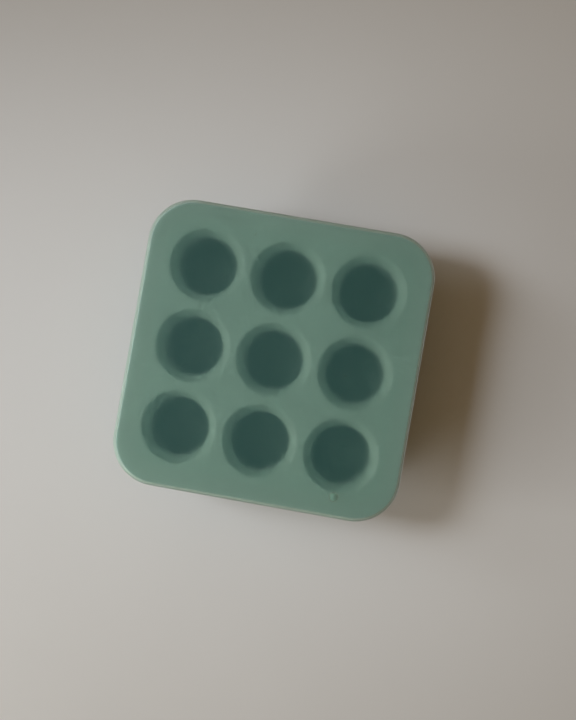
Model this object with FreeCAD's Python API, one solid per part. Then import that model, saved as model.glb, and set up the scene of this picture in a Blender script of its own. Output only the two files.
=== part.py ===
import FreeCAD, Part
import math
import os

# Baby food freezer tray: one silicone tray with nine round cups, and one
# translucent plastic lid whose skirt goes down over the tray's rim.
# Frame: millimetres, +Z up, origin at the middle of the underside (the plane that
# the cup bottoms stand on), -Y is the front.

V = FreeCAD.Vector

# ---------------------------------------------------------------- dimensions
LID_SIDE = 170.0          # outer side of the rounded square
LID_R = 26.3              # its corner radius
LID_T = 1.4               # lid top plate
LID_WALL = 1.4            # lid skirt wall
LID_SKIRT = 9.0           # lid top to the skirt's lower edge
LID_EDGE_R = 2.0          # outer radius between top plate and skirt
LID_INNER_R = 0.5         # inner radius between top plate and skirt
LID_FOOT_R = 0.45         # rounding of the skirt's lower edge

TOTAL_H = 46.5            # underside of the cups to the lid's top face

FIT = 0.3                 # gap all round between lid skirt and tray rim

RIM_T = 2.6               # tray rim wall
RIM_H = 14.6              # rim band height, from its top edge down
RIM_ROUND = 0.5           # rounding between the deck and the rim's outer face
RIM_FOOT_R = 0.9          # rounding of the rim's lower edge
POCKET_R = 1.5            # radius between the rim's inner face and the deck's underside
DECK_T = 2.6              # deck thickness

PITCH = 48.2              # cup spacing both ways
MOUTH_R = 21.6            # cup mouth at the deck
MOUTH_ROUND = 2.0         # rounding of the mouth's edge
WELL_R = 17.3             # top of the well, at the bottom of the funnel
FUNNEL_D = 6.8            # depth of the funnel below the deck
WELL_ROUND = 3.0          # rounding between funnel and well
BOTTOM_R = 16.0           # radius of the well at its floor, before the floor's radius
FLOOR_FILLET = 6.0        # radius round the cup floor, inside
FLOOR_T = 2.4             # cup floor thickness
WALL_T = 2.2              # cup wall thickness
FLOOR_DISH = 0.9          # the middle of the cup's underside is hollowed this deep
FLOOR_DISH_R = 7.4        # radius of that hollow
FOOT_R = 6.4              # outer radius round the cup's foot

# ---------------------------------------------------------------- derived
LID_TOP = TOTAL_H
LID_UNDER = LID_TOP - LID_T                  # the lid rests on the flat deck here
RIM_SIDE = LID_SIDE - 2 * (LID_WALL + FIT)
RIM_R = LID_R - (LID_WALL + FIT)
RIM_TOP = LID_UNDER
RIM_BOT = RIM_TOP - RIM_H
DECK_TOP = RIM_TOP
DECK_BOT = DECK_TOP - DECK_T
CUP_FLOOR = FLOOR_T                          # z of the inside floor


# ---------------------------------------------------------------- helpers
def rounded_square_wire(side, r, z):
    """Closed wire of a rounded square centred on the Z axis."""
    h = side / 2.0
    k = h - r
    c = math.sqrt(0.5) * r
    edges = []
    # right side up, corner, top side left, corner, left side down, corner, bottom
    edges.append(Part.LineSegment(V(h, -k, z), V(h, k, z)).toShape())
    edges.append(Part.Arc(V(h, k, z), V(k + c, k + c, z), V(k, h, z)).toShape())
    edges.append(Part.LineSegment(V(k, h, z), V(-k, h, z)).toShape())
    edges.append(Part.Arc(V(-k, h, z), V(-k - c, k + c, z), V(-h, k, z)).toShape())
    edges.append(Part.LineSegment(V(-h, k, z), V(-h, -k, z)).toShape())
    edges.append(Part.Arc(V(-h, -k, z), V(-k - c, -k - c, z), V(-k, -h, z)).toShape())
    edges.append(Part.LineSegment(V(-k, -h, z), V(k, -h, z)).toShape())
    edges.append(Part.Arc(V(k, -h, z), V(k + c, -k - c, z), V(h, -k, z)).toShape())
    return Part.Wire(edges)


def prism(side, r, z0, z1):
    return Part.Face(rounded_square_wire(side, r, z0)).extrude(V(0, 0, z1 - z0))


def rim_edges(solid, z, half):
    """Edges of a rounded-square loop at height z whose outline is at +-half."""
    out = []
    for e in solid.Edges:
        b = e.BoundBox
        if abs(b.ZMin - z) < 1e-4 and abs(b.ZMax - z) < 1e-4:
            reach = max(abs(b.XMin), abs(b.XMax), abs(b.YMin), abs(b.YMax))
            if abs(reach - half) < 1e-3:
                out.append(e)
    return out


def fillet_loop(solid, z, half, r):
    e = rim_edges(solid, z, half)
    assert len(e) == 8, ("loop", z, half, len(e))
    return solid.makeFillet(r, e)


def arc_corner(prev, corner, nxt, r):
    """Start, middle and end of the arc of radius r that rounds a corner in XZ."""
    a = V(*prev).sub(V(*corner))
    b = V(*nxt).sub(V(*corner))
    a.normalize()
    b.normalize()
    half = a.getAngle(b) / 2.0
    t = r / math.tan(half)
    s = V(*corner).add(V(a).multiply(t))
    e = V(*corner).add(V(b).multiply(t))
    mid_dir = V(a).add(b)
    mid_dir.normalize()
    centre = V(*corner).add(V(mid_dir).multiply(r / math.sin(half)))
    m = centre.sub(V(mid_dir).multiply(r))
    return s, m, e


def revolved(profile):
    """Solid of revolution from a list of (x, z, corner_radius), closed on the axis."""
    pts = [(x, 0.0, z) for x, z, _ in profile]
    rad = [c for _, _, c in profile]
    n = len(pts)
    edges = []
    last = V(*pts[0])
    for i in range(1, n):
        if i < n - 1 and rad[i] > 0:
            s, m, e = arc_corner(pts[i - 1], pts[i], pts[i + 1], rad[i])
            if last.sub(s).Length > 1e-6:
                edges.append(Part.LineSegment(last, s).toShape())
            edges.append(Part.Arc(s, m, e).toShape())
            last = e
        else:
            q = V(*pts[i])
            if last.sub(q).Length > 1e-6:
                edges.append(Part.LineSegment(last, q).toShape())
            last = q
    first = V(*pts[0])
    if last.sub(first).Length > 1e-6:
        edges.append(Part.LineSegment(last, first).toShape())
    face = Part.Face(Part.Wire(edges))
    return face.revolve(V(0, 0, 0), V(0, 0, 1), 360)


# ---------------------------------------------------------------- lid
def make_lid():
    outer = prism(LID_SIDE, LID_R, LID_TOP - LID_SKIRT, LID_TOP)
    outer = fillet_loop(outer, LID_TOP, LID_SIDE / 2.0, LID_EDGE_R)
    in_side = LID_SIDE - 2 * LID_WALL
    inner = prism(in_side, LID_R - LID_WALL, LID_TOP - LID_SKIRT - 1.0, LID_UNDER)
    inner = fillet_loop(inner, LID_UNDER, in_side / 2.0, LID_INNER_R)
    lid = outer.cut(inner)
    foot = rim_edges(lid, LID_TOP - LID_SKIRT, LID_SIDE / 2.0)
    foot += rim_edges(lid, LID_TOP - LID_SKIRT, in_side / 2.0)
    assert len(foot) == 16, len(foot)
    return lid.makeFillet(LID_FOOT_R, foot)


# ---------------------------------------------------------------- tray
def cup_inner():
    """The space inside one cup, from its floor to above the deck."""
    top = DECK_TOP + 6.0
    return revolved([
        (0.0, CUP_FLOOR, 0),
        (BOTTOM_R, CUP_FLOOR, FLOOR_FILLET),
        (WELL_R, DECK_TOP - FUNNEL_D, WELL_ROUND),
        (MOUTH_R, DECK_TOP, MOUTH_ROUND),
        (MOUTH_R + 5.0, DECK_TOP, 0),
        (MOUTH_R + 5.0, top, 0),
        (0.0, top, 0),
    ])


def cup_outer():
    """The outside of one cup, from the standing face up into the deck."""
    mid = (DECK_TOP + DECK_BOT) / 2.0
    slope = (MOUTH_R - WELL_R) / FUNNEL_D
    # the funnel's outside is its inside moved out by the wall, square to the cone
    off = WALL_T * math.sqrt(1.0 + slope * slope)
    well_z = DECK_TOP - FUNNEL_D - 0.6
    r_well = WELL_R + WALL_T
    r_under = WELL_R + off + slope * (DECK_BOT - (DECK_TOP - FUNNEL_D))
    return revolved([
        (0.0, FLOOR_DISH, 0),
        (FLOOR_DISH_R, FLOOR_DISH, 0),
        (FLOOR_DISH_R + 1.6, 0.0, 0),
        (BOTTOM_R + WALL_T, 0.0, FOOT_R),
        (r_well, well_z, 2.0),
        (r_under, DECK_BOT, 0),
        (r_under, mid, 0),
        (0.0, mid, 0),
    ])


def make_tray():
    band = prism(RIM_SIDE, RIM_R, RIM_BOT, RIM_TOP)
    band = fillet_loop(band, RIM_TOP, RIM_SIDE / 2.0, RIM_ROUND)

    pocket_side = RIM_SIDE - 2 * RIM_T
    pocket = prism(pocket_side, RIM_R - RIM_T, RIM_BOT - 2.0, DECK_BOT)
    pocket = fillet_loop(pocket, DECK_BOT, pocket_side / 2.0, POCKET_R)

    body = band.cut(pocket)
    e = rim_edges(body, RIM_BOT, RIM_SIDE / 2.0) + rim_edges(body, RIM_BOT, pocket_side / 2.0)
    assert len(e) == 16, len(e)
    body = body.makeFillet(RIM_FOOT_R, e)

    outer = cup_outer()
    inner = cup_inner()
    places = [V(i * PITCH, j * PITCH, 0) for j in (-1, 0, 1) for i in (-1, 0, 1)]
    outs = []
    ins = []
    for p in places:
        a = outer.copy()
        a.translate(p)
        outs.append(a)
        b = inner.copy()
        b.translate(p)
        ins.append(b)
    body = body.fuse(outs)
    for b in ins:
        body = body.cut(b)
    body = body.removeSplitter()
    return body


def main():
    os.makedirs("parts", exist_ok=True)
    lid = make_lid()
    tray = make_tray()
    for name, shape in (("silicone_tray", tray), ("snap_lid", lid)):
        s = shape
        if s.ShapeType != "Solid":
            assert len(s.Solids) == 1, (name, len(s.Solids))
            s = s.Solids[0]
        assert s.isValid(), name
        b = s.optimalBoundingBox(False)
        print("%-14s volume %.1f cm3  x %.2f..%.2f  y %.2f..%.2f  z %.2f..%.2f  faces %d" % (
            name, s.Volume / 1000.0, b.XMin, b.XMax, b.YMin, b.YMax, b.ZMin, b.ZMax,
            len(s.Faces)))
        s.exportStep("parts/%s.step" % name)
    gap = tray.distToShape(lid)[0]
    print("tray to lid: distance %.3f mm, overlap %.4f mm3" % (gap, tray.common(lid).Volume))


main()
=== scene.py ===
import math

import bmesh
import bpy
from mathutils import Matrix, Vector, noise


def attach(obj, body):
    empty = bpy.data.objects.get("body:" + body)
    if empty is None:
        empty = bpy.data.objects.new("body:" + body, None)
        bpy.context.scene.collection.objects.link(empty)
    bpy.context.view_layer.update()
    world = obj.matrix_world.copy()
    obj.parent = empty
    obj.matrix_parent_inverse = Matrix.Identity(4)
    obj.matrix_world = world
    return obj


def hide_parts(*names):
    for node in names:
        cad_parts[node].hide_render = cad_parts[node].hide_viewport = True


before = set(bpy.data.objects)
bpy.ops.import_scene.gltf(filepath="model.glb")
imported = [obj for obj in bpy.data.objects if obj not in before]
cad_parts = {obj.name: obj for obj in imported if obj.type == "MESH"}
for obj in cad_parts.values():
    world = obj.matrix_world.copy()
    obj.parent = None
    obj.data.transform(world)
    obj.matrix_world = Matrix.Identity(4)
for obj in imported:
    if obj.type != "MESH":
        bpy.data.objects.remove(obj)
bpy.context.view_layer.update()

MM = 0.001

# ------------------------------------------------------------------ sizes (mm)
LID_SIDE, LID_R, LID_T, LID_WALL, LID_SKIRT = 170.0, 26.3, 1.4, 1.4, 9.0
LID_EDGE_R, LID_INNER_R, LID_FOOT_R = 2.0, 0.5, 0.45
TOTAL_H = 46.5
FIT = 0.3
RIM_T, RIM_H, RIM_ROUND, DECK_T = 2.6, 14.6, 0.5, 2.6
PITCH, MOUTH_R, MOUTH_ROUND = 48.2, 21.6, 2.0
WELL_R, FUNNEL_D, WELL_ROUND = 17.3, 6.8, 3.0
BOTTOM_R, FLOOR_FILLET, FLOOR_T, WALL_T = 16.0, 6.0, 2.4, 2.2
FLOOR_DISH, FLOOR_DISH_R, FOOT_R = 0.9, 7.4, 6.4

LID_TOP = TOTAL_H
LID_UNDER = LID_TOP - LID_T
RIM_SIDE = LID_SIDE - 2 * (LID_WALL + FIT)
RIM_R = LID_R - (LID_WALL + FIT)
RIM_TOP = LID_UNDER
RIM_BOT = RIM_TOP - RIM_H
DECK_BOT = RIM_TOP - DECK_T
DECK_TOP = RIM_TOP - 0.05        # a hair under the lid, so that the two faces never meet

# ------------------------------------------------------------------ mesh helpers
CELL = 24                 # segments along one side of a cup's square cell
N_SIDE = 3 * CELL         # along one side of the whole square
N_ARC = 24                # of those, in one rounded corner (half belongs to each side)
N_RING = 4 * CELL         # round one cup


def square_loop(half, r):
    """4 * N_SIDE points of a rounded square, anticlockwise from the middle of the
    corner at -X -Y. With r = 0 the points are evenly spaced along the sides."""
    pts = []
    if r <= 1e-9:
        one = [(-half + 2 * half * k / N_SIDE, -half) for k in range(N_SIDE)]
    else:
        c = half - r
        h = N_ARC // 2
        one = []
        for k in range(h):
            a = math.radians(225 + 45.0 * k / h)
            one.append((-c + r * math.cos(a), -c + r * math.sin(a)))
        n = N_SIDE - N_ARC
        for k in range(n):
            one.append((-c + 2 * c * k / n, -half))
        for k in range(h):
            a = math.radians(270 + 45.0 * k / h)
            one.append((c + r * math.cos(a), -c + r * math.sin(a)))
    for q in range(4):
        for x, y in one:
            for _ in range(q):
                x, y = -y, x
            pts.append((x, y))
    return pts


def lerp_loop(a, b, t):
    return [(p[0] + (q[0] - p[0]) * t, p[1] + (q[1] - p[1]) * t) for p, q in zip(a, b)]


def rounded_path(points, seg_mm=None):
    """Polyline of (u, v, radius[, segments]) with each corner rounded by a true arc."""
    out = [(points[0][0], points[0][1])]
    for i in range(1, len(points) - 1):
        p = Vector(points[i - 1][:2])
        c = Vector(points[i][:2])
        n = Vector(points[i + 1][:2])
        r = points[i][2]
        k = points[i][3] if len(points[i]) > 3 else 6
        if r <= 0:
            out.append((c.x, c.y))
            continue
        a = (p - c).normalized()
        b = (n - c).normalized()
        half = a.angle(b) / 2
        t = r / math.tan(half)
        start = c + a * t
        end = c + b * t
        centre = c + (a + b).normalized() * (r / math.sin(half))
        s0 = start - centre
        s1 = end - centre
        whole = s0.angle(s1)
        turn = 1 if s0.x * s1.y - s0.y * s1.x > 0 else -1
        for j in range(k + 1):
            w = turn * whole * j / k
            q = Vector((s0.x * math.cos(w) - s0.y * math.sin(w), s0.x * math.sin(w) + s0.y * math.cos(w)))
            out.append((centre.x + q.x, centre.y + q.y))
    out.append((points[-1][0], points[-1][1]))
    return out


def densify(path, longest):
    """Splits stretches longer than longest into even steps."""
    out = [path[0]]
    for p, q in zip(path, path[1:]):
        d = math.hypot(q[0] - p[0], q[1] - p[1])
        n = max(1, math.ceil(d / longest))
        for j in range(1, n + 1):
            out.append((p[0] + (q[0] - p[0]) * j / n, p[1] + (q[1] - p[1]) * j / n))
    return out


class Build:
    """Collects vertices (mm) and faces of one mesh."""

    def __init__(self):
        self.v = []
        self.f = []

    def add(self, x, y, z):
        self.v.append((x, y, z))
        return len(self.v) - 1

    def loop(self, pts, z):
        return [self.add(x, y, z) for x, y in pts]

    def strip(self, a, b, flip=False):
        n = len(a)
        for k in range(n):
            m = (k + 1) % n
            q = (a[k], a[m], b[m], b[k])
            self.f.append(q[::-1] if flip else q)

    def mesh(self, name, wobble=None):
        me = bpy.data.meshes.new(name)
        pts = self.v
        if wobble:
            pts = [wobble(*p) for p in pts]
        me.from_pydata([(x * MM, y * MM, z * MM) for x, y, z in pts], [], self.f)
        me.validate()
        me.update()
        for p in me.polygons:
            p.use_smooth = True
        ob = bpy.data.objects.new(name, me)
        bpy.context.scene.collection.objects.link(ob)
        return ob


def fbm(x, y, z, size, seed):
    """Smooth noise between about -1 and 1 with features of the given size in mm."""
    return noise.noise(Vector((x / size + seed * 17.3, y / size - seed * 9.1, z / size + seed * 3.7)))


# ------------------------------------------------------------------ the tray
def tray_mesh():
    b = Build()
    block = 1.5 * PITCH

    # cell boundaries: one shared lattice of vertices for the top and one below
    def lattice(z):
        grid = {}
        step = PITCH / CELL
        for i in range(N_SIDE + 1):
            for j in range(N_SIDE + 1):
                if i % CELL == 0 or j % CELL == 0:
                    grid[i, j] = b.add(-block + i * step, -block + j * step, z)
        return grid

    def cell_loop(grid, ci, cj):
        i0, j0 = ci * CELL, cj * CELL
        loop = [grid[i0 + k, j0] for k in range(CELL)]
        loop += [grid[i0 + CELL, j0 + k] for k in range(CELL)]
        loop += [grid[i0 + CELL - k, j0 + CELL] for k in range(CELL)]
        loop += [grid[i0, j0 + CELL - k] for k in range(CELL)]
        return loop

    def block_loop(grid):
        loop = [grid[k, 0] for k in range(N_SIDE)]
        loop += [grid[N_SIDE, k] for k in range(N_SIDE)]
        loop += [grid[N_SIDE - k, N_SIDE] for k in range(N_SIDE)]
        loop += [grid[0, N_SIDE - k] for k in range(N_SIDE)]
        return loop

    slope = (MOUTH_R - WELL_R) / FUNNEL_D
    inner = rounded_path([
        (MOUTH_R + 4.0, DECK_TOP, 0),
        (MOUTH_R, DECK_TOP, MOUTH_ROUND, 6),
        (WELL_R, DECK_TOP - FUNNEL_D, WELL_ROUND, 6),
        (BOTTOM_R, FLOOR_T, FLOOR_FILLET, 10),
        (0.0, FLOOR_T, 0),
    ])[1:]
    inner = densify(inner[:-1], 2.6) + [(7.0, FLOOR_T), (3.6, FLOOR_T), (1.4, FLOOR_T)]

    off = WALL_T * math.sqrt(1.0 + slope * slope)
    r_under = WELL_R + off + slope * (DECK_BOT - (DECK_TOP - FUNNEL_D))
    outer = rounded_path([
        (r_under + 4.0, DECK_BOT, 0),
        (r_under, DECK_BOT, 1.0, 5),
        (WELL_R + WALL_T, DECK_TOP - FUNNEL_D - 0.6, 2.0, 5),
        (BOTTOM_R + WALL_T, 0.0, FOOT_R, 10),
        (FLOOR_DISH_R + 1.6, 0.0, 0.8, 4),
        (FLOOR_DISH_R, FLOOR_DISH, 1.0, 4),
        (0.0, FLOOR_DISH, 0),
    ])[1:]
    outer = densify(outer[:-1], 2.6) + [(3.6, FLOOR_DISH), (1.4, FLOOR_DISH)]

    angles = [math.radians(-135 + 360.0 * k / N_RING) for k in range(N_RING)]
    unit = [(math.cos(a), math.sin(a)) for a in angles]

    top = lattice(DECK_TOP)
    low = lattice(DECK_BOT)
    for ci in range(3):
        for cj in range(3):
            cx, cy = (ci - 1) * PITCH, (cj - 1) * PITCH
            for grid, prof, flip, z in ((top, inner, False, DECK_TOP), (low, outer, True, DECK_BOT)):
                edge = cell_loop(grid, ci, cj)
                ring0 = [(cx + prof[0][0] * c, cy + prof[0][0] * s) for c, s in unit]
                flat = [b.v[i][:2] for i in edge]
                prev = edge
                for t in (0.5,):
                    mid = b.loop(lerp_loop(flat, ring0, t), z)
                    b.strip(prev, mid, flip)
                    prev = mid
                for r, h in prof:
                    ring = b.loop([(cx + r * c, cy + r * s) for c, s in unit], h)
                    b.strip(prev, ring, flip)
                    prev = ring
                hub = b.add(cx, cy, prof[-1][1])
                for k in range(N_RING):
                    tri = (prev[k], prev[(k + 1) % N_RING], hub)
                    b.f.append(tri[::-1] if flip else tri)

    # the rim, swept round the rounded square: (inset from the rim's outer face, z)
    line = 0.09
    rim = rounded_path([
        (4.0, DECK_TOP, 0),
        (0.0, DECK_TOP, RIM_ROUND, 6),
        (0.0, RIM_BOT + 2.25, 0),
        (-line, RIM_BOT + 2.12, 0),
        (-line, RIM_BOT + 1.98, 0),
        (0.0, RIM_BOT + 1.85, 0),
        (0.0, RIM_BOT, 0.9, 5),
        (RIM_T, RIM_BOT, 0.9, 5),
        (RIM_T, DECK_BOT, 1.5, 6),
        (RIM_T + 2.1, DECK_BOT, 0),
    ])
    rim = densify(rim, 2.2)
    half = RIM_SIDE / 2
    blk_top, blk_low = block_loop(top), block_loop(low)
    blk = [b.v[i][:2] for i in blk_top]
    prev = blk_top
    first = square_loop(half - rim[0][0], RIM_R - rim[0][0])
    for t in (0.5,):
        mid = b.loop(lerp_loop(blk, first, t), DECK_TOP)
        b.strip(mid, prev)
        prev = mid
    for d, z in rim:
        ring = b.loop(square_loop(half - d, RIM_R - d), z)
        b.strip(ring, prev)
        prev = ring
    last = square_loop(half - rim[-1][0], RIM_R - rim[-1][0])
    for t in (0.5,):
        mid = b.loop(lerp_loop(last, blk, t), DECK_BOT)
        b.strip(mid, prev)
        prev = mid
    b.strip(blk_low, prev)

    def wobble(x, y, z):
        # soft moulded silicone is never quite true: a slow drift of under 0.1 mm,
        # and a slight droop of the deck
        k = 0.05
        up = 0.0
        if DECK_BOT - 0.01 <= z <= DECK_TOP + 0.01:
            up = -0.05 * (1.0 + fbm(x, y, 0, 26.0, 3))
        dx = k * fbm(x, y, z, 34.0, 1)
        dy = k * fbm(x, y, z, 34.0, 2)
        if z < 1.0:
            return x + dx, y + dy, z
        return x + dx, y + dy, z + up
    return b.mesh("tray_silicone_body", wobble)


# ------------------------------------------------------------------ the lid
def lid_mesh():
    b = Build()
    block = 1.5 * PITCH
    drop = 0.12                      # room under the CAD face for the raised pips

    def plate(z):
        grid = {}
        step = 2 * block / N_SIDE
        for i in range(N_SIDE + 1):
            for j in range(N_SIDE + 1):
                grid[i, j] = b.add(-block + i * step, -block + j * step, z)
        return grid

    def edge_of(grid):
        loop = [grid[k, 0] for k in range(N_SIDE)]
        loop += [grid[N_SIDE, k] for k in range(N_SIDE)]
        loop += [grid[N_SIDE - k, N_SIDE] for k in range(N_SIDE)]
        loop += [grid[0, N_SIDE - k] for k in range(N_SIDE)]
        return loop

    def fill(grid, flip):
        for i in range(N_SIDE):
            for j in range(N_SIDE):
                q = (grid[i, j], grid[i + 1, j], grid[i + 1, j + 1], grid[i, j + 1])
                b.f.append(q[::-1] if flip else q)

    z_top = LID_TOP - drop
    z_foot = LID_TOP - LID_SKIRT
    top = plate(z_top)
    low = plate(LID_UNDER)
    fill(top, False)
    inner, skirt, edge, shoulder, wall = set(), set(), set(), set(), set()
    n0 = len(b.f)
    fill(low, True)
    inner.update(range(n0, len(b.f)))
    side = rounded_path([
        (LID_EDGE_R + 2.0, z_top, 0),
        (0.0, z_top, LID_EDGE_R - 0.1, 10),
        (0.0, z_foot, LID_FOOT_R, 4),
        (LID_WALL, z_foot, LID_FOOT_R, 4),
        (LID_WALL, LID_UNDER, LID_INNER_R, 6),
        (LID_WALL + LID_INNER_R + 2.0, LID_UNDER, 0),
    ])
    side = densify(side, 1.6)
    half = LID_SIDE / 2
    etop, elow = edge_of(top), edge_of(low)
    blk = [b.v[i][:2] for i in etop]
    first = square_loop(half - side[0][0], LID_R - side[0][0])
    prev = etop
    for t in (0.25, 0.5, 0.75):
        mid = b.loop(lerp_loop(blk, first, t), z_top)
        b.strip(mid, prev)
        prev = mid
    for d, z in side:
        ring = b.loop(square_loop(half - d, LID_R - d), z)
        n0 = len(b.f)
        b.strip(ring, prev)
        if d > LID_WALL - 0.02 and z < LID_UNDER + 0.3:
            (skirt if z < LID_UNDER - 0.02 else inner).update(range(n0, len(b.f)))
        elif d < LID_EDGE_R - 0.15 and z > z_top - LID_EDGE_R:
            (edge if z > z_top - 0.45 * LID_EDGE_R else shoulder).update(range(n0, len(b.f)))
        elif z < LID_UNDER:
            wall.update(range(n0, len(b.f)))
        prev = ring
    n0 = len(b.f)
    last = square_loop(half - side[-1][0], LID_R - side[-1][0])
    for t in (0.25, 0.5, 0.75):
        mid = b.loop(lerp_loop(last, blk, t), LID_UNDER)
        b.strip(mid, prev)
        prev = mid
    b.strip(elow, prev)
    inner.update(range(n0, len(b.f)))

    def wobble(x, y, z):
        # the top is very slightly wavy, and true again where it turns down into the skirt
        inset = LID_SIDE / 2 - max(abs(x), abs(y))
        ease = min(1.0, max(0.0, (inset - 3.0) / 12.0))
        if z > LID_UNDER + 0.01:
            return x, y, z - 0.06 * ease * (0.5 + 0.5 * fbm(x, y, 0, 42.0, 7))
        return x, y, z
    ob = b.mesh("lid_frosted_shell", wobble)
    for k in inner:
        ob.data.polygons[k].material_index = 1
    for k in skirt:
        ob.data.polygons[k].material_index = 2
    for k in edge:
        ob.data.polygons[k].material_index = 3
    for k in shoulder:
        ob.data.polygons[k].material_index = 4
    for k in wall:
        ob.data.polygons[k].material_index = 7
    return ob


def raise_marks(ob, marks, slot):
    """Small moulded or scuffed marks that stand up from the lid's top face. Each is
    (x, y, half length, half width, degrees, height) in mm; its faces get the slot."""
    bm = bmesh.new()
    bm.from_mesh(ob.data)
    floor_z = (LID_TOP - 0.5) * MM
    for x, y, a, w, turn, h in marks:
        c, s = math.cos(math.radians(turn)), math.sin(math.radians(turn))

        def reach(p):
            dx, dy = p.x / MM - x, p.y / MM - y
            return math.hypot((dx * c + dy * s) / a, (-dx * s + dy * c) / w)

        near = [f for f in bm.faces if f.calc_center_median().z > floor_z
                and math.hypot(f.calc_center_median().x / MM - x,
                               f.calc_center_median().y / MM - y) < a + 1.7]
        edges = list({e for f in near for e in f.edges})
        bmesh.ops.subdivide_edges(bm, edges=edges, cuts=9, use_grid_fill=True)
        for v in bm.verts:
            if v.co.z > floor_z:
                d = reach(v.co)
                if d < 1.0:
                    v.co.z += h * MM * (0.5 + 0.5 * math.cos(math.pi * d))
        for f in bm.faces:
            if f.calc_center_median().z > floor_z and reach(f.calc_center_median()) < 1.0:
                f.material_index = slot
    bm.to_mesh(ob.data)
    bm.free()
    for p in ob.data.polygons:
        p.use_smooth = True


tray = tray_mesh()
lid = lid_mesh()
# the moulding's gate pip near the front edge (x, y, radius, height as it shades), and
# three small scuffs
PIP = (48.4, -72.7, 3.0, 0.34)
raise_marks(lid, [(PIP[0], PIP[1], PIP[2], PIP[2], 0, 0.10)], 6)
raise_marks(lid, [(-22.8, 70.6, 1.25, 0.48, 70, 0.025),
                  (43.2, -2.2, 1.05, 0.36, 4, 0.02),
                  (-31.4, 6.6, 0.75, 0.40, 80, 0.015)], 5)
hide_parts("silicone_tray")
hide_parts("snap_lid")
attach(tray, "tray")
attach(lid, "lid")


# ------------------------------------------------------------------ materials
def new_material(name):
    m = bpy.data.materials.new(name)
    m.use_nodes = True
    nt = m.node_tree
    nt.nodes.clear()
    return m, nt


def node(nt, kind, **inputs):
    n = nt.nodes.new(kind)
    for k, v in inputs.items():
        n.inputs[k.replace("_", " ")].default_value = v
    return n


def silicone_material():
    m, nt = new_material("sage_silicone")
    out = nt.nodes.new("ShaderNodeOutputMaterial")
    p = node(nt, "ShaderNodeBsdfPrincipled")
    nt.links.new(p.outputs[0], out.inputs["Surface"])
    co = nt.nodes.new("ShaderNodeTexCoord")

    def tex(scale, detail, rough=0.5):
        n = nt.nodes.new("ShaderNodeTexNoise")
        n.inputs["Scale"].default_value = scale
        n.inputs["Detail"].default_value = detail
        n.inputs["Roughness"].default_value = rough
        nt.links.new(co.outputs["Object"], n.inputs["Vector"])
        return n

    # slow cloudy drift of the pigment
    slow = tex(22.0, 3.0)
    ramp = nt.nodes.new("ShaderNodeValToRGB")
    ramp.color_ramp.elements[0].position = 0.30
    ramp.color_ramp.elements[0].color = (0.1449, 0.2318, 0.1739, 1)
    ramp.color_ramp.elements[1].position = 0.72
    ramp.color_ramp.elements[1].color = (0.1554, 0.2487, 0.1865, 1)
    nt.links.new(slow.outputs["Fac"], ramp.inputs["Fac"])
    # fine lint and talc that clings to silicone
    lint = tex(1500.0, 2.0)
    lr = nt.nodes.new("ShaderNodeValToRGB")
    lr.color_ramp.elements[0].position = 0.70
    lr.color_ramp.elements[0].color = (0, 0, 0, 1)
    lr.color_ramp.elements[1].position = 0.80
    lr.color_ramp.elements[1].color = (1, 1, 1, 1)
    nt.links.new(lint.outputs["Fac"], lr.inputs["Fac"])
    mul = nt.nodes.new("ShaderNodeMath")
    mul.operation = "MULTIPLY"
    mul.inputs[1].default_value = 0.35
    nt.links.new(lr.outputs["Color"], mul.inputs[0])
    mix = nt.nodes.new("ShaderNodeMix")
    mix.data_type = "RGBA"
    nt.links.new(mul.outputs[0], mix.inputs["Factor"])
    nt.links.new(ramp.outputs["Color"], mix.inputs["A"])
    mix.inputs["B"].default_value = (0.50, 0.58, 0.54, 1)
    nt.links.new(mix.outputs["Result"], p.inputs["Base Color"])
    # satin patches
    rr = nt.nodes.new("ShaderNodeMapRange")
    rr.inputs["From Min"].default_value = 0.3
    rr.inputs["From Max"].default_value = 0.7
    rr.inputs["To Min"].default_value = 0.50
    rr.inputs["To Max"].default_value = 0.64
    mid = tex(120.0, 4.0)
    nt.links.new(mid.outputs["Fac"], rr.inputs["Value"])
    nt.links.new(rr.outputs["Result"], p.inputs["Roughness"])
    bump = nt.nodes.new("ShaderNodeBump")
    bump.inputs["Strength"].default_value = 0.12
    bump.inputs["Distance"].default_value = 0.0002
    grain = tex(2600.0, 3.0)
    nt.links.new(grain.outputs["Fac"], bump.inputs["Height"])
    nt.links.new(bump.outputs["Normal"], p.inputs["Normal"])
    p.inputs["Sheen Weight"].default_value = 0.10
    p.inputs["Sheen Roughness"].default_value = 0.5
    p.inputs["IOR"].default_value = 1.41
    return m


HAZE = (0.6739, 0.6930, 0.6540, 1)          # the cast of light scattered by the top plate
STRAIGHT = (0.7163, 0.6418, 0.6132)
SKIRT_HAZE = (0.78, 0.86, 0.82, 1)
MILK = (0.0681, 0.9800, 0.9800, 1)          # and of light that it scatters back
# the cyan of the painted light band along the lid's outline
PAINTED_EDGE_LIGHT_TINT = (0.34, 0.84, 0.84, 1)
# the milky scatter of the lid's edge seen edge-on, with a painted green glow in its colour that stands in for
# light come through the green silicone behind it
EDGE_MILK_AND_PAINTED_GREEN_GLOW = (0.37, 0.48, 0.39, 1)
MARK_MILK = (0.36, 0.58, 0.48, 1)
PIP_MILK = (0.195, 0.365, 0.290, 1)
WALL_MILK = (0.50, 0.58, 0.54, 1)


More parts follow.
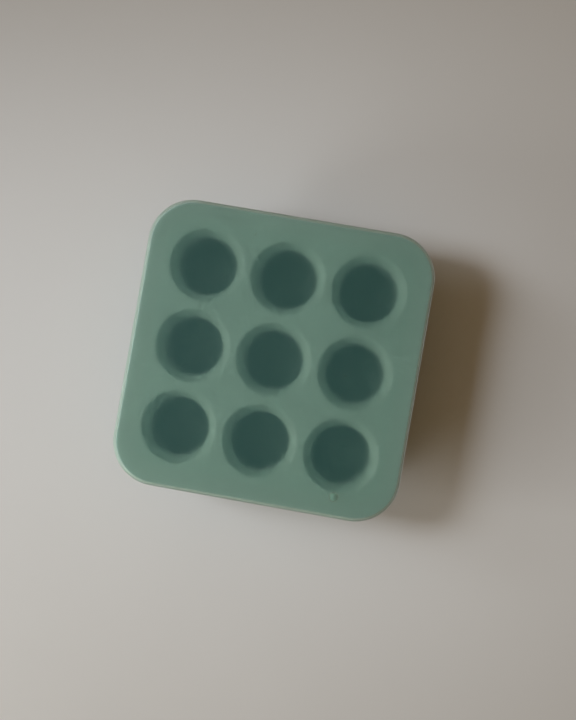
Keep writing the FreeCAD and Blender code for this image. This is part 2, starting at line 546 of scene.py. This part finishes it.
def lid_material(name, rough, haze_share, milk_share, haze_colour=HAZE, milk_colour=MILK,
                 pip=None, under_share=None, painted_edge_light=0.0, matt=None,
                 clear=(1.0, 1.0, 1.0)):
    m, nt = new_material(name)
    out = nt.nodes.new("ShaderNodeOutputMaterial")
    p = node(nt, "ShaderNodeBsdfPrincipled")
    co = nt.nodes.new("ShaderNodeTexCoord")

    def tex(scale, detail, rough=0.5):
        n = nt.nodes.new("ShaderNodeTexNoise")
        n.inputs["Scale"].default_value = scale
        n.inputs["Detail"].default_value = detail
        n.inputs["Roughness"].default_value = rough
        nt.links.new(co.outputs["Object"], n.inputs["Vector"])
        return n

    cloud = tex(30.0, 3.0)
    ramp = nt.nodes.new("ShaderNodeValToRGB")
    ramp.color_ramp.elements[0].position = 0.3
    ramp.color_ramp.elements[0].color = (0.975, 0.985, 0.985, 1)
    ramp.color_ramp.elements[1].position = 0.7
    ramp.color_ramp.elements[1].color = (0.985, 0.995, 0.995, 1)
    nt.links.new(cloud.outputs["Fac"], ramp.inputs["Fac"])
    nt.links.new(ramp.outputs["Color"], p.inputs["Base Color"])
    rr = nt.nodes.new("ShaderNodeMapRange")
    rr.inputs["From Min"].default_value = 0.3
    rr.inputs["From Max"].default_value = 0.7
    rr.inputs["To Min"].default_value = rough[0]
    rr.inputs["To Max"].default_value = rough[1]
    mid = tex(160.0, 4.0)
    nt.links.new(mid.outputs["Fac"], rr.inputs["Value"])
    nt.links.new(rr.outputs["Result"], p.inputs["Roughness"])
    p.inputs["Transmission Weight"].default_value = 1.0
    p.inputs["IOR"].default_value = 1.45
    shader = p.outputs[0]
    path = nt.nodes.new("ShaderNodeLightPath")
    if matt:
        # the skin is matt: looked at directly it gives a broad, faint sheen, no mirror
        bend = nt.nodes.new("ShaderNodeBsdfRefraction")
        bend.inputs["Color"].default_value = (0.955, 0.965, 0.965, 1)
        bend.inputs["IOR"].default_value = 1.45
        nt.links.new(rr.outputs["Result"], bend.inputs["Roughness"])
        sheen = nt.nodes.new("ShaderNodeBsdfGlossy")
        sheen.inputs["Color"].default_value = (1, 1, 1, 1)
        sheen.inputs["Roughness"].default_value = 0.55
        skin = nt.nodes.new("ShaderNodeMixShader")
        skin.inputs[0].default_value = 0.02 if matt == "Is Camera Ray" else 0.004
        nt.links.new(bend.outputs[0], skin.inputs[1])
        nt.links.new(sheen.outputs[0], skin.inputs[2])
        seen = nt.nodes.new("ShaderNodeMixShader")
        nt.links.new(path.outputs[matt], seen.inputs[0])
        nt.links.new(p.outputs[0], seen.inputs[1])
        nt.links.new(skin.outputs[0], seen.inputs[2])
        shader = seen.outputs[0]
    clean = shader
    # plastic that lets light through scattered: seen from one side, lit from the other
    if haze_share > 0:
        haze = nt.nodes.new("ShaderNodeBsdfTranslucent")
        haze.inputs["Color"].default_value = haze_colour

        def hazy(share):
            n = nt.nodes.new("ShaderNodeMixShader")
            n.inputs[0].default_value = share
            nt.links.new(clean, n.inputs[1])
            nt.links.new(haze.outputs[0], n.inputs[2])
            return n.outputs[0]

        shader = hazy(haze_share)
        if under_share is not None:
            # the light that reaches the tray has been scattered more on its way in
            mix = nt.nodes.new("ShaderNodeMixShader")
            nt.links.new(path.outputs["Is Diffuse Ray"], mix.inputs[0])
            nt.links.new(shader, mix.inputs[1])
            nt.links.new(hazy(under_share), mix.inputs[2])
            shader = mix.outputs[0]
    # and a little that it scatters back, with the plastic's faint blue-green cast
    if milk_share > 0:
        milk = nt.nodes.new("ShaderNodeBsdfDiffuse")
        milk.inputs["Color"].default_value = milk_colour
        mix = nt.nodes.new("ShaderNodeMixShader")
        mix.inputs[0].default_value = milk_share
        if pip:
            # milkiest in the middle of the pip, fading out at its foot, where the
            # plastic is thicker and its skin is drawn
            x, y, radius, height = pip
            off = nt.nodes.new("ShaderNodeVectorMath")
            off.operation = "SUBTRACT"
            off.inputs[1].default_value = (x * MM, y * MM, LID_TOP * MM)
            nt.links.new(co.outputs["Object"], off.inputs[0])
            far = nt.nodes.new("ShaderNodeVectorMath")
            far.operation = "LENGTH"
            nt.links.new(off.outputs["Vector"], far.inputs[0])

            def fade(inner, outer, top):
                n = nt.nodes.new("ShaderNodeMapRange")
                n.interpolation_type = "SMOOTHSTEP"
                n.inputs["From Min"].default_value = inner * MM
                n.inputs["From Max"].default_value = outer * MM
                n.inputs["To Min"].default_value = top
                n.inputs["To Max"].default_value = 0.0
                nt.links.new(far.outputs["Value"], n.inputs["Value"])
                return n.outputs["Result"]

            nt.links.new(fade(0.55 * radius, radius, milk_share), mix.inputs[0])
            bump = nt.nodes.new("ShaderNodeBump")
            bump.inputs["Strength"].default_value = 1.0
            bump.inputs["Distance"].default_value = height * MM
            nt.links.new(fade(0.0, 0.92 * radius, 1.0), bump.inputs["Height"])
            nt.links.new(bump.outputs["Normal"], milk.inputs["Normal"])
            nt.links.new(bump.outputs["Normal"], p.inputs["Normal"])
        if painted_edge_light:
            # painted light: a soft band along the lid's outline is made milkier and cyan, standing in for the
            # light that enters through the lid's edge and gathers there
            core = (LID_SIDE / 2 - LID_R) * MM
            last = co.outputs["Object"]
            for op, arg in (("ABSOLUTE", None), ("SUBTRACT", (core, core, 1.0)),
                            ("MAXIMUM", (0.0, 0.0, 0.0))):
                vm = nt.nodes.new("ShaderNodeVectorMath")
                vm.operation = op
                nt.links.new(last, vm.inputs[0])
                if arg:
                    vm.inputs[1].default_value = arg
                last = vm.outputs["Vector"]
            far = nt.nodes.new("ShaderNodeVectorMath")
            far.operation = "LENGTH"
            nt.links.new(last, far.inputs[0])
            band = nt.nodes.new("ShaderNodeMapRange")
            band.interpolation_type = "SMOOTHSTEP"
            band.inputs["From Min"].default_value = (LID_R - 12.0) * MM
            band.inputs["From Max"].default_value = (LID_R - 2.0) * MM
            band.inputs["To Min"].default_value = milk_share
            band.inputs["To Max"].default_value = milk_share + painted_edge_light
            nt.links.new(far.outputs["Value"], band.inputs["Value"])
            nt.links.new(band.outputs["Result"], mix.inputs[0])
            tint = nt.nodes.new("ShaderNodeValToRGB")
            tint.color_ramp.elements[0].position = (LID_R - 13.0) / 30.0
            tint.color_ramp.elements[0].color = milk_colour
            tint.color_ramp.elements[1].position = (LID_R - 3.0) / 30.0
            tint.color_ramp.elements[1].color = PAINTED_EDGE_LIGHT_TINT
            part = nt.nodes.new("ShaderNodeMath")
            part.operation = "DIVIDE"
            part.inputs[1].default_value = 30.0 * MM
            nt.links.new(far.outputs["Value"], part.inputs[0])
            nt.links.new(part.outputs[0], tint.inputs["Fac"])
            nt.links.new(tint.outputs["Color"], milk.inputs["Color"])
        nt.links.new(shader, mix.inputs[1])
        nt.links.new(milk.outputs[0], mix.inputs[2])
        shader = mix.outputs[0]
    # the share of a lamp's light that goes straight through each face unscattered
    straight = nt.nodes.new("ShaderNodeBsdfTransparent")
    straight.inputs["Color"].default_value = [min(1.0, v * c) for v, c in zip(STRAIGHT, clear)] + [1.0]
    mix = nt.nodes.new("ShaderNodeMixShader")
    nt.links.new(path.outputs["Is Shadow Ray"], mix.inputs[0])
    nt.links.new(shader, mix.inputs[1])
    nt.links.new(straight.outputs[0], mix.inputs[2])
    nt.links.new(mix.outputs[0], out.inputs["Surface"])
    return m


def floor_material():
    m, nt = new_material("pale_floor")
    out = nt.nodes.new("ShaderNodeOutputMaterial")
    p = node(nt, "ShaderNodeBsdfPrincipled")
    nt.links.new(p.outputs[0], out.inputs["Surface"])
    co = nt.nodes.new("ShaderNodeTexCoord")
    n = nt.nodes.new("ShaderNodeTexNoise")
    n.inputs["Scale"].default_value = 9.0
    n.inputs["Detail"].default_value = 4.0
    nt.links.new(co.outputs["Object"], n.inputs["Vector"])
    ramp = nt.nodes.new("ShaderNodeValToRGB")
    ramp.color_ramp.elements[0].color = (0.70, 0.69, 0.665, 1)
    ramp.color_ramp.elements[1].color = (0.73, 0.72, 0.695, 1)
    nt.links.new(n.outputs["Fac"], ramp.inputs["Fac"])
    nt.links.new(ramp.outputs["Color"], p.inputs["Base Color"])
    p.inputs["Roughness"].default_value = 0.85
    p.inputs["Specular IOR Level"].default_value = 0.2
    return m


tray.data.materials.append(silicone_material())
# the top carries the painted light band along its outline
lid.data.materials.append(lid_material("frosted_lid", (0.35, 0.40), 0.0, 0.050, painted_edge_light=0.03,
                                       matt="Is Camera Ray"))
lid.data.materials.append(lid_material("frosted_lid_inside", (0.35, 0.40), 0.115, 0.0,
                                       under_share=0.771, matt="Is Transmission Ray"))
lid.data.materials.append(lid_material("frosted_lid_skirt_inside", (0.27, 0.29), 0.92, 0.0, SKIRT_HAZE))
# edge and shoulder: milky, with the painted green glow
lid.data.materials.append(lid_material("frosted_lid_edge", (0.56, 0.62), 0.30, 0.50, SKIRT_HAZE, EDGE_MILK_AND_PAINTED_GREEN_GLOW,
                                       clear=(1.35, 1.45, 1.5)))
lid.data.materials.append(lid_material("frosted_lid_shoulder", (0.50, 0.56), 0.30, 0.30, SKIRT_HAZE, EDGE_MILK_AND_PAINTED_GREEN_GLOW,
                                       clear=(1.35, 1.45, 1.5)))
lid.data.materials.append(lid_material("frosted_lid_scuff", (0.35, 0.40), 0.0, 0.16, HAZE, MARK_MILK, matt="Is Camera Ray"))
lid.data.materials.append(lid_material("frosted_lid_pip", (0.33, 0.38), 0.0, 0.75, HAZE, PIP_MILK, PIP, matt="Is Camera Ray"))
lid.data.materials.append(lid_material("frosted_lid_wall", (0.40, 0.43), 0.0, 0.08, HAZE, WALL_MILK))

# ------------------------------------------------------------------ floor
bpy.ops.mesh.primitive_plane_add(size=8.0, location=(0, 0, -0.00004))
floor = bpy.context.object
floor.name = "floor"
floor.data.materials.append(floor_material())

# ------------------------------------------------------------------ camera
TURN = math.radians(9.92)            # the object lies turned clockwise in the frame
RIGHT = Vector((math.cos(TURN), math.sin(TURN), 0))
UP = Vector((-math.sin(TURN), math.cos(TURN), 0))
DIST = 0.70                          # lens to the point aimed at, on the lid's top
# the camera stands a little to the right of that point and a little below it
BACK = (Vector((0, 0, 1)) + RIGHT * math.tan(math.radians(2.6))
        - UP * math.tan(math.radians(1.5))).normalized()
cam_data = bpy.data.cameras.new("camera")
cam = bpy.data.objects.new("camera", cam_data)
bpy.context.scene.collection.objects.link(cam)
cam_data.sensor_width = 36.0
cam_data.lens = 59.98
cam_data.clip_start = 0.01
cam.location = Vector((0.0086, 0.0012, LID_TOP * MM)) + BACK * DIST
cam_up = (UP - BACK * UP.dot(BACK)).normalized()
cam.rotation_euler = Matrix((cam_up.cross(BACK), cam_up, BACK)).transposed().to_euler()
bpy.context.scene.camera = cam


# ------------------------------------------------------------------ light
def area(name, where, look, size_x, size_y, power, colour, spread=math.pi):
    d = bpy.data.lights.new(name, "AREA")
    d.shape = "RECTANGLE"
    d.size, d.size_y = size_x, size_y
    d.energy = power
    d.color = colour
    d.spread = spread
    o = bpy.data.objects.new(name, d)
    bpy.context.scene.collection.objects.link(o)
    o.location = where
    o.rotation_euler = (Vector(look) - Vector(where)).to_track_quat("-Z", "Y").to_euler()
    return o


def place(right, up, z):
    return RIGHT * right + UP * up + Vector((0, 0, z))


# a tall window to the left, its lower and upper ends, and the warm, dim room around it
area("window", place(-0.8963, 0.1887, 0.7516), place(-0.1160, 0.0335, 0), 0.3739, 0.6877,
     0.5802, (0.930, 1.0, 1.087), math.radians(36.9))
area("low_window", place(-0.6860, -0.3995, 0.2409), place(0.3972, -0.3703, 0), 0.6459, 0.0752,
     1.2500, (0.966, 1.0, 1.024), math.radians(77.9))
area("far_window", place(-0.9198, 0.6769, 0.5377), place(0.2129, 0.2772, 0), 0.8609, 0.2300,
     0.1719, (0.930, 1.0, 1.087), math.radians(28.5))

world = bpy.data.worlds.new("room")
bpy.context.scene.world = world
world.use_nodes = True
bg = world.node_tree.nodes["Background"]
bg.inputs["Color"].default_value = (1.0, 0.706, 0.386, 1)
bg.inputs["Strength"].default_value = 0.1673

bpy.context.scene.view_settings.view_transform = "Standard"
